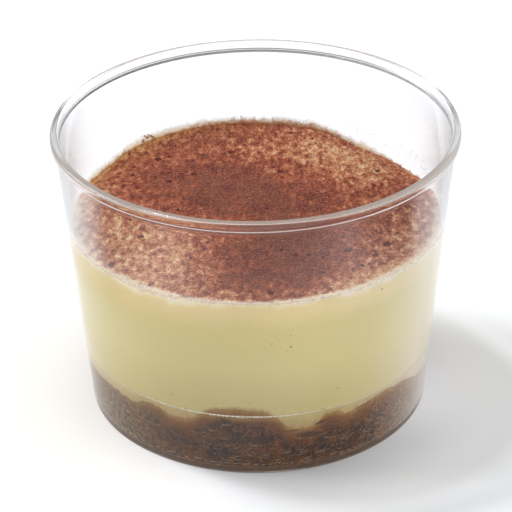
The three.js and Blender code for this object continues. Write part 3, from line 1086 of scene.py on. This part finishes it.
def cream_numbers(x, y, z, level, rim):
    """At a point of the cream: coffee soaked in, depth below the top, golden patch, painted glow, whiter
    band.
    """
    angle = math.atan2(y, x)
    degrees = math.degrees(angle)
    edge, depth = sponge_edge(angle), food_edge(angle, level, rim) - z
    if z < STEP_LEVEL - 0.05:
        soak = 0.58 - 0.44 * clamp((z - edge) / max(0.6, STEP_LEVEL - edge))
    else:
        reach = 1.0 + 0.4 * ripple(degrees * 0.12, 0.0, 0.0, 52, 2)
        stained = clamp((edge - STEP_LEVEL + 0.6) / 0.9)
        soak = 0.7 * stained * max(0.0, 1.0 - (z - max(edge, STEP_LEVEL)) / reach)
    golden = 0.65 * hill(degrees, -152, 26, 2) * math.exp(-(((depth - 4.5) / 3.2) ** 2))
    # Painted glow, strongest over the front near the top
    glow = max(0.0, 1 - depth / 24) * (0.1 + 0.9 * hill(degrees, -100, 38))
    band = 0.6 * hill(degrees, -122, 17, 2) + 0.6 * ripple(degrees * 0.16, 0, 0, 51, 5)
    return soak, depth, golden, glow, band


class TIRAMISU_OT_cream(bpy.types.Operator):
    """Build the cream layer"""

    bl_idname = "tiramisu.cream"
    bl_label = "Cream"

    def execute(self, context):
        rim = rim_of_food()
        obj = turned("mascarpone_cream", [cream_ring(angle, *rim) for angle in round_steps()])
        place, degrees = points_of(obj)
        right = np.abs(degrees) < 90
        soak, below_top, golden, glow, band = zip(*(cream_numbers(*point, *rim) for point in place.tolist()))
        # Painted pale sheen where the side is seen along the wall, and a painted glow near the top
        veil = side_veil(np.where(right, degrees + 10, degrees + 5)) * np.where(right, 1.1, 0.4)
        store(obj, veil=veil, glow=glow, band=band, soak=soak, below_top=below_top, golden=golden)
        finish_piece(obj, mascarpone(context.scene.tiramisu_food), "cream")
        return {"FINISHED"}


def cocoa_numbers(x, y, level, rim):
    """At a point of the cocoa: height, thickness, looseness, golden fringe, and paleness at the edge."""
    from_middle, turn = math.hypot(x, y), math.degrees(math.atan2(y, x))
    share = min(1.0, from_middle / rim)
    base = cocoa_cover(x, y, rim)
    gaps = clamp((0.98 - base) / 0.32)
    clump = ripple(x * 0.85, y * 0.50, 0.0, 12, 5)
    drift = 0.10 * ripple(x * 0.12, y * 0.12, 0.0, 11, 2) + clump * (0.06 + 0.16 * gaps)
    z = food_top(x, y, level, rim) + drift * (1 - share**16)
    fringe = 0.75 * share**14 * hill(turn, 140, 42)
    near = (0.5 - 0.5 * y / max(0.1, from_middle)) ** 2 * clamp((share - 0.955) / 0.03)
    pale = max(near, 0.75 * hill(turn, 190, 24) * clamp((share - 0.90) / 0.08))
    return z, base + clump * (0.06 + 0.28 * gaps), 0.42 + 0.58 * gaps, fringe, pale


class TIRAMISU_OT_cocoa(bpy.types.Operator):
    """Build the dusting of cocoa"""

    bl_idname = "tiramisu.cocoa"
    bl_label = "Cocoa dusting"

    def execute(self, context):
        level, rim = rim_of_food()
        count = 300
        flat = round_grid(count, rim)
        z, *numbers = zip(*(cocoa_numbers(x, y, level, rim) for x, y in flat))
        points, faces = [(x, y, height) for (x, y), height in zip(flat, z)], grid_faces(count, count)
        index = np.arange((count + 1) ** 2).reshape(count + 1, count + 1)
        above = [*index[:, 0], *index[-1, 1:], *index[-2::-1, -1], *index[0, -2:0:-1]]
        loop = [flat[i] for i in above]
        for share in (0.995, 0.92, 0.8):
            ids = range(len(points), len(points) + len(loop))
            faces += zip(above, ids, np.roll(ids, -1), np.roll(above, -1))
            for x, y in loop:
                height = food_top(x * share, y * share, level, rim) - COCOA_THICKNESS
                points.append((x * share, y * share, height))
            above = ids
        faces += [(b, a, len(points)) for a, b in zip(above, np.roll(above, -1))]
        points.append((0, 0, level - COCOA_THICKNESS - 0.15))
        obj = new_piece("cocoa_dusting", points, faces)
        ragged = [0.25 + 0.5 * ripple(x * 0.9, y * 0.9, 0.0, 20, 4) for x, y, _ in points[len(flat) : -1]]
        hidden = [*ragged, 0.0]
        unseen = (hidden, [1] * len(hidden), [0] * len(hidden), [0.8] * len(hidden))
        cover, loose, fringe, pale = ([*on_top, *below] for on_top, below in zip(numbers, unseen))
        store(obj, cover=cover, loose=loose, fringe=fringe, pale=pale)
        finish_piece(obj, cocoa_powder(), "cocoa")
        return {"FINISHED"}


def grain_carrier():
    """A coarse copy of the cocoa's top to scatter on, with more grains where the cocoa lies thick."""
    level, rim = rim_of_food()
    count = 60
    flat = round_grid(count, 0.975 * rim)
    points = [(x, y, food_top(x, y, level, rim) + 0.04) for x, y in flat]
    carrier = new_piece("carrier", points, grid_faces(count, count))
    store(carrier, chance=[min(1.0, max(0.05, cocoa_cover(x, y, rim)) ** 2) for x, y in flat])
    return carrier


class TIRAMISU_OT_cocoa_lumps(bpy.types.Operator):
    """Scatter the lumps and grains that stand out on the cocoa"""

    bl_idname = "tiramisu.cocoa_lumps"
    bl_label = "Cocoa lumps and grains"

    def execute(self, context):
        rim = rim_of_food()
        lumps = []
        for k, (x, y, width) in enumerate(DARK_LUMPS):
            size = (width * 0.42, width * 0.45, width * 0.18)
            lumps.append(blob((x, y, food_top(x, y, *rim) + 0.03), size, k + 3, 6, 8))
        finish_piece(joined("dark_lumps", *lumps), cocoa_grain("dark_cocoa", (92, 46, 38), (120, 66, 52)))
        for k, (name, (dark, light, density, sizes)) in enumerate(GRAINS.items(), 1):
            piece = joined("piece", blob((0, 0, 0), (0.12, 0.14, 0.05), k))
            finish = cocoa_grain(name, dark, light)
            density *= 1.0
            scattered(name, grain_carrier(), piece, finish, density, sizes, math.pi, k)
        return {"FINISHED"}


def dust_chance(angle, z):
    """Powder that clings to the back wall just over the cocoa, highest at the right."""
    above = z - food_edge(math.radians(angle), *rim_of_food())
    reach = 0.22 + 0.45 * hill(angle, 84, 30) + 0.20 * ripple(angle * 0.3, 0.0, 0.0, 61, 4)
    if above < -0.25:
        return 0.0
    return math.exp(-((max(0.0, above) / max(0.08, reach)) ** 2)) * (0.9 if above < 0.25 else 0.5)


def speck_chance(angle, z):
    """Specks lie in a loose band that falls to the right."""
    middle = 42.2 - 0.02 * (50 - angle)
    uneven = max(0.0, 0.5 + 0.9 * ripple(angle * 0.2, z * 0.5, 0.0, 63, 3))
    return math.exp(-(((z - middle) / 1.3) ** 2)) * uneven


def cream_reach(angle):
    """How far the cream's film reaches below and above the food's edge."""
    ends = min(1.0, (angle - 34) / 16, (166 - angle) / 10)
    return 0.5, 2.15 * max(0.05, ends) * (1 + 0.22 * ripple(angle * 0.16, 0.0, 0.0, 15, 3))


def powder_reach(angle):
    """How far the powder's film reaches below and above the food's edge: highest at the back right."""
    uneven = max(-0.25, ripple(angle * 0.35, 0.0, 0.0, 61, 5))
    return 0.5, 0.5 + 1.25 * hill(angle, 84, 28) + 0.4 * hill(angle, 148, 18) + 1.0 * uneven


def edge_reach(angle):
    """How far the pale edge reaches below and above the food's edge: deepest at the front left."""
    uneven = max(-0.5, ripple(angle * 0.3, 0.0, 0.0, 62, 5))
    return 0.4 + 0.7 * hill(angle, -124, 18, 2) + 0.5 * uneven, 0.25 + 0.3 * uneven


def film(name, material, first, last, reach, depth=-0.05, tilt=0.06, both=False):
    """A thin film on the wall from one angle to another; both lets it fade at its lower edge too."""
    rim = rim_of_food()

    def spot(angle, share):
        below, above = reach(angle)
        z = food_edge(math.radians(angle), *rim) - below + (below + above) * share
        fade = 2.6 * min(share, 1 - share) if both else 1.15 - 1.15 * share
        return z, depth - tilt * (1 - share), fade

    obj = wall_sheet(name, "fade", first, last, 2 * (last - first), 14, spot, inwards=True)
    solid = obj.modifiers.new("Thickness", "SOLIDIFY")
    solid.thickness = FILM_THICKNESS * MM
    solid.offset = 1.0
    finish_piece(obj, material)


def films():
    """Cream and powder that cling to the back wall, and the pale ragged edge in front."""
    stops = ((0.2, 206, 200, 188), (0.6, 212, 200, 178), (0.85, 214, 190, 150), (1.0, 186, 144, 92))
    material = wall_film("cream_smear", stops, 0.35, 0.8, (206, 180, 140))
    film("cream_film", material, 34, 166, cream_reach)
    stops = ((0.2, 204, 156, 110), (0.6, 176, 116, 74), (1.0, 140, 80, 54))
    material = wall_film("powder_smear", stops, 1.5, 0.8, (126, 76, 46))
    film("powder_film", material, 18, 172, powder_reach, depth=-0.08)
    stops = ((0.2, 238, 230, 216), (0.6, 232, 220, 204), (1.0, 226, 206, 186))
    material = wall_film("edge_smear", stops, 1.7, 0.5, (186, 136, 106))
    film("edge_film", material, -176, -4, edge_reach, depth=0.02, tilt=0.0, both=True)


def smear_curl():
    """A small curl of cocoa-stained cream that clings to the wall at the back left."""
    parts = []
    for k in range(34):
        share = k / 33
        angle = 130.3 - 5.8 * share + 1.1 * ripple(k * 1.9, 0.0, 0.0, 71, 2)
        z = 41.0 + 1.1 * math.sin(math.pi * share) + 0.7 * ripple(k * 1.3, 4.0, 0.0, 72, 2)
        size = 0.17 + 0.20 * abs(ripple(k * 2.7, 8.0, 0.0, 73, 2))
        parts.append(blob(on_wall(angle, z, -0.2), (size, size * 0.8, size * 0.7), 80 + k))
    finish_piece(joined("smear_curl", *parts), cocoa_grain("stained_cream", (176, 124, 90), (224, 192, 152)))


class TIRAMISU_OT_wall_traces(bpy.types.Operator):
    """Build the films, the smear and the specks on the wall above the food"""

    bl_idname = "tiramisu.wall_traces"
    bl_label = "Traces on the wall"

    def execute(self, context):
        films()
        smear_curl()
        carrier = wall_strip(16, 62, 39.0, 45.5, speck_chance, -0.06)
        piece = joined("piece", blob((0, 0, 0), (0.11, 0.11, 0.06), 5))
        finish = cocoa_grain("wall_cocoa", (150, 110, 92), (190, 150, 128))
        scattered("wall_specks", carrier, piece, finish, 330, (0.3, 1.0), math.pi, 11)
        carrier = wall_strip(12, 170, 37.6, 43.4, dust_chance, -0.07)
        piece = joined("piece", blob((0, 0, 0), (0.16, 0.13, 0.07), 9))
        finish = cocoa_grain("wall_dust", (160, 104, 72), (214, 166, 122))
        scattered("wall_dust", carrier, piece, finish, 900, (0.3, 0.8), math.pi, 12)
        return {"FINISHED"}


def step_line():
    """The thin line of air that clings to the stacking step, with a painted glint: it is drawn thicker and
    brighter in front at the left.
    """
    path, radii = [], []
    steps = 900
    for k in range(steps):
        angle = -176 + 172 * k / (steps - 1)
        wobble = 0.05 * ripple(angle * 0.25, 0.0, 0.0, 31, 3)
        # Painted glint: thicker and brighter in front at the left, sparkling along its length
        glint = max(0.0, 0.5 + 0.8 * ripple(angle * 2.2, 3.0, 0.0, 32, 4))
        bright = max(hill(angle, -102, 26), 0.24 * hill(angle, -95, 60))
        path.append(on_wall(angle, STEP_LEVEL - 0.1 + wobble, 0.03))
        radii.append(0.025 + bright * (0.08 + 0.30 * glint**1.5))
    finish = air_at_wall("bright_air", (246, 242, 228), (214, 206, 176), 0.15, 700.0)
    finish_piece(joined("step_line", tube(path, radii, 6)), finish)


def cream_marks():
    """Tiny brown specks in the cream at the wall."""
    parts = []
    for k, (angle, z, width) in enumerate(CREAM_MARKS):
        out = on_wall(angle, 0).normalized()
        axes = (AXES[2].cross(out), AXES[2], out)
        parts.append(blob(on_wall(angle, z, -0.02), (width * 0.5, width * 0.3, 0.06), 40 + k, 6, 8, axes))
    finish_piece(joined("cream_marks", *parts), cocoa_grain("cream_mark", (158, 136, 82), (184, 164, 108)))


def foot_bubbles():
    """Short wavy lines of air along the foot, where the sponge starts."""
    parts = []
    angle, k = -166.0, 0
    while angle < -14:
        length = 0.5 + 2.6 * (0.5 + 0.5 * ripple(k * 1.7, 0.0, 0.0, 41, 2)) ** 2
        steps = max(3, int(length / 0.25))
        z = 2.05 + 0.35 * ripple(k * 0.9, 5.0, 0.0, 42, 2)
        thick = 0.05 + 0.05 * abs(ripple(k * 2.3, 9.0, 0.0, 43, 2))
        path, radii = [], []
        for share in np.linspace(0, 1, steps + 1).tolist():
            here = angle + math.degrees(length * share / ROUND_FOOT)
            path.append(on_wall(here, z + 0.16 * ripple(here * 0.9, k, 0.0, 44, 2), 0.02))
            radii.append(thick * (0.35 + 0.65 * math.sin(math.pi * share)))
        parts.append(tube(path, radii))
        gap = 0.3 + 1.2 * abs(ripple(k * 1.3, 2.0, 0.0, 45, 2))
        angle += math.degrees((length + gap) / ROUND_FOOT)
        k += 1
    finish = air_at_wall("foot_air", (196, 182, 160), (150, 132, 110), 0.3, 1400.0)
    finish_piece(joined("foot_bubbles", *parts), finish)


def crescent():
    """The lower half of a bubble's outline, about a millimetre wide, lying flat."""
    path, radii = [], []
    for k in range(11):
        angle = math.radians(-178 + 176 * k / 10)
        path.append(Vector((0.62 * math.cos(angle), 0.46 * math.sin(angle) + 0.2, 0)))
        radii.append(0.02 + 0.05 * math.sin(math.pi * k / 10) ** 2)
    return joined("piece", tube(path, radii))


def rim_chance(angle, z):
    """Painted glints on the lower edges of bubbles crowd the lower front, right of the middle."""
    front = hill(angle, -78, 24) * math.exp(-(((z - 4.2) / 2.4) ** 4))
    return max(front, 0.30 * math.exp(-(((z - 2.8) / 1.5) ** 2)), 0.03)


def dot_chance(angle, z):
    """Small bubbles are finest and closest at the right."""
    right = hill(angle, -38, 26) * math.exp(-(((z - 4.5) / 3.6) ** 4))
    return max(right, 0.8 * math.exp(-(((z - 1.9) / 0.9) ** 2)), 0.10)


class TIRAMISU_OT_wall_air(bpy.types.Operator):
    """Build the bubbles, the painted glints on their lower edges and the lines of air between the food and
    the wall
    """

    bl_idname = "tiramisu.wall_air"
    bl_label = "Air at the wall"

    def execute(self, context):
        step_line()
        cream_marks()
        # Painted highlights: pale crescents along the lower edges of bubbles
        rims = air_at_wall("wet_rim", (148, 124, 96), (100, 74, 52))
        carrier = wall_strip(-176, -4, 1.6, 9.0, rim_chance, 0.03)
        scattered("wet_rims", carrier, crescent(), rims, 52, (0.55, 1.5), 0.4, 21)
        dots = air_at_wall("small_bubble", (186, 168, 144), (126, 104, 84))
        carrier = wall_strip(-176, -4, 1.35, 9.5, dot_chance, 0.03)
        piece = joined("piece", blob((0, 0, 0), (0.09, 0.07, 0.06), 4))
        scattered("small_bubbles", carrier, piece, dots, 150, (0.5, 1.5), 3.1, 22)
        foot_bubbles()
        return {"FINISHED"}


def white_table():
    """A pale table. It is darker outside the view, where the plastic mirrors it. A painted pool of light
    makes it whiter at the left, and painted shadow darkens it at the front right of the pot's foot and in a
    disc further in front.
    """
    material, tree, place = new_material("white_table")
    x, y, _ = split(place)
    sideways = step(abs(x), 0.064, 0.100) * step(y, 0.012, -0.012)
    in_front = step(y, -0.060, -0.105) * step(y, -0.135, -0.118)
    beyond = math_node("MAXIMUM", sideways, in_front) * remap(noise_at(place, 3.0), 0.3, 0.7, 0.98, 1.0)
    # Painted light: whiter at the left, in front
    lit = step(x, 0.0, -0.030) * step(y, 0.04, 0.0)
    wash = mix(lit, (0.905, 0.925, 0.965), (0.99, 0.99, 0.99))
    # Painted shadow at the front right of the foot
    round_foot = step(vector_node("LENGTH", place), 0.050, 0.036, 0.14)
    round_foot = round_foot * remap(x, -0.010, 0.010) * remap(y, -0.010, -0.024)
    wash = mix(round_foot, wash, (0.0, 0.0, 0.0))
    # Painted shadow: a darker disc in front of the pot, at the right
    from_shadow = vector_node("LENGTH", vector_node("ADD", place, (-0.020, 0.008, 0.0)))
    wash = mix(step(from_shadow, 0.0465, 0.0405, 0.13) * remap(y, -0.039, -0.047), wash, (0.0, 0.0, 0.0))
    show(tree, principled(tree, mix(beyond, wash, (0.13, 0.135, 0.14)), 0.7))
    return material


def table():
    """The table, which isn't part of the model."""
    corners = [(x * TABLE_HALF, y * TABLE_HALF, TABLE_LEVEL) for x, y in ((-1, -1), (1, -1), (1, 1), (-1, 1))]
    obj = new_piece("table", corners, [range(4)])
    obj.data.materials.append(white_table())


def surround(scene, stage):
    """Surroundings with a soft lobe of light on each side."""
    world = bpy.data.worlds.new("studio")
    world.use_nodes = True
    scene.world = world
    tree = world.node_tree
    tree.nodes.clear()
    direction = add(tree, "ShaderNodeTexCoord", None, "Generated")
    level = stage.around
    for brightness, axis in (
        (stage.left, (-1, 0, 0)),
        (stage.right, (1, 0, 0)),
        (stage.front, (0, -1, 0)),
        (stage.above, (0, 0, 1)),
    ):
        level = step(vector_node("DOT_PRODUCT", direction, axis), 0.0, 1.0) * brightness + level
    background = add(tree, "ShaderNodeBackground", {"Color": (1, 1, 1, 1), "Strength": level})
    add(tree, "ShaderNodeOutputWorld", {"Surface": background})


def lights(scene, stage):
    """A high light at the back left, and a wide one at the left."""
    aim = Vector((0, 0, 0.03))
    for name, place, size, power in (
        ("key_light", Vector((-0.46, 0.170, 1.09)), 0.14, stage.key_power),
        ("side_light", Vector((-1.3, 0.35, 0.75)), 1.0, stage.side_power),
    ):
        data = bpy.data.lights.new(name, "AREA")
        data.shape = "SQUARE"
        data.size = size
        data.energy = power
        light = bpy.data.objects.new(name, data)
        light.location = place
        light.rotation_euler = (aim - place).to_track_quat("-Z", "Y").to_euler()
        scene.collection.objects.link(light)


def camera(scene, stage):
    """The photograph's view."""
    forward = Vector((0, math.cos(stage.elevation), -math.sin(stage.elevation)))
    right = AXES[0]
    up = right.cross(forward)
    across = right * math.cos(stage.roll) - up * math.sin(stage.roll)
    above = right * math.sin(stage.roll) + up * math.cos(stage.roll)
    eye = Vector((0, 0, CAMERA_AIM)) - forward * stage.distance
    data = bpy.data.cameras.new("camera")
    data.sensor_width = 36
    data.lens = stage.lens
    data.shift_x, data.shift_y = (shift / PICTURE_WIDTH for shift in PICTURE_SHIFT)
    data.clip_start = 0.01
    data.clip_end = 20
    obj = bpy.data.objects.new("camera", data)
    turn = Matrix((across, above, -forward)).transposed()
    obj.matrix_world = Matrix.Translation(eye) @ turn.to_4x4()
    scene.collection.objects.link(obj)
    scene.camera = obj


class TIRAMISU_OT_stage(bpy.types.Operator):
    """Set up the pale floor, the lights and the camera"""

    bl_idname = "tiramisu.stage"
    bl_label = "Studio"

    def execute(self, context):
        scene, stage = context.scene, context.scene.tiramisu_stage
        table()
        surround(scene, stage)
        lights(scene, stage)
        camera(scene, stage)
        scene.view_settings.view_transform = "Standard"
        return {"FINISHED"}


class TIRAMISU_PT_panel(bpy.types.Panel):
    """Lists the pieces and their settings"""

    bl_idname = "TIRAMISU_PT_panel"
    bl_label = "Tiramisu pot"
    bl_space_type = "VIEW_3D"
    bl_region_type = "UI"
    bl_category = "Tiramisu"

    def draw(self, context):
        scene = context.scene
        for settings in (scene.tiramisu_pot, scene.tiramisu_food, scene.tiramisu_stage):
            column = self.layout.column(align=True)
            for name in settings.__annotations__:
                column.prop(settings, name)
        for operator in OPERATORS:
            self.layout.operator(operator.bl_idname)


OPERATORS = (
    TIRAMISU_OT_stage,
    TIRAMISU_OT_pot,
    TIRAMISU_OT_sponge,
    TIRAMISU_OT_cream,
    TIRAMISU_OT_cocoa,
    TIRAMISU_OT_cocoa_lumps,
    TIRAMISU_OT_wall_traces,
    TIRAMISU_OT_wall_air,
)
SETTINGS = {"tiramisu_pot": PotSettings, "tiramisu_food": FoodSettings, "tiramisu_stage": StageSettings}


def register():
    """Adds the settings, operators and panel."""
    for name, kind in SETTINGS.items():
        bpy.utils.register_class(kind)
        setattr(bpy.types.Scene, name, PointerProperty(type=kind))
    for kind in (*OPERATORS, TIRAMISU_PT_panel):
        bpy.utils.register_class(kind)


def unregister():
    """Takes them away again."""
    for kind in (TIRAMISU_PT_panel, *reversed(OPERATORS)):
        bpy.utils.unregister_class(kind)
    for name, kind in reversed(SETTINGS.items()):
        delattr(bpy.types.Scene, name)
        bpy.utils.unregister_class(kind)


def main():
    """Builds everything in order."""
    register()
    bpy.ops.tiramisu.stage()
    bpy.ops.tiramisu.pot()
    bpy.ops.tiramisu.sponge()
    bpy.ops.tiramisu.cream()
    bpy.ops.tiramisu.cocoa()
    bpy.ops.tiramisu.cocoa_lumps()
    bpy.ops.tiramisu.wall_traces()
    bpy.ops.tiramisu.wall_air()


if __name__ == "__main__":
    main()
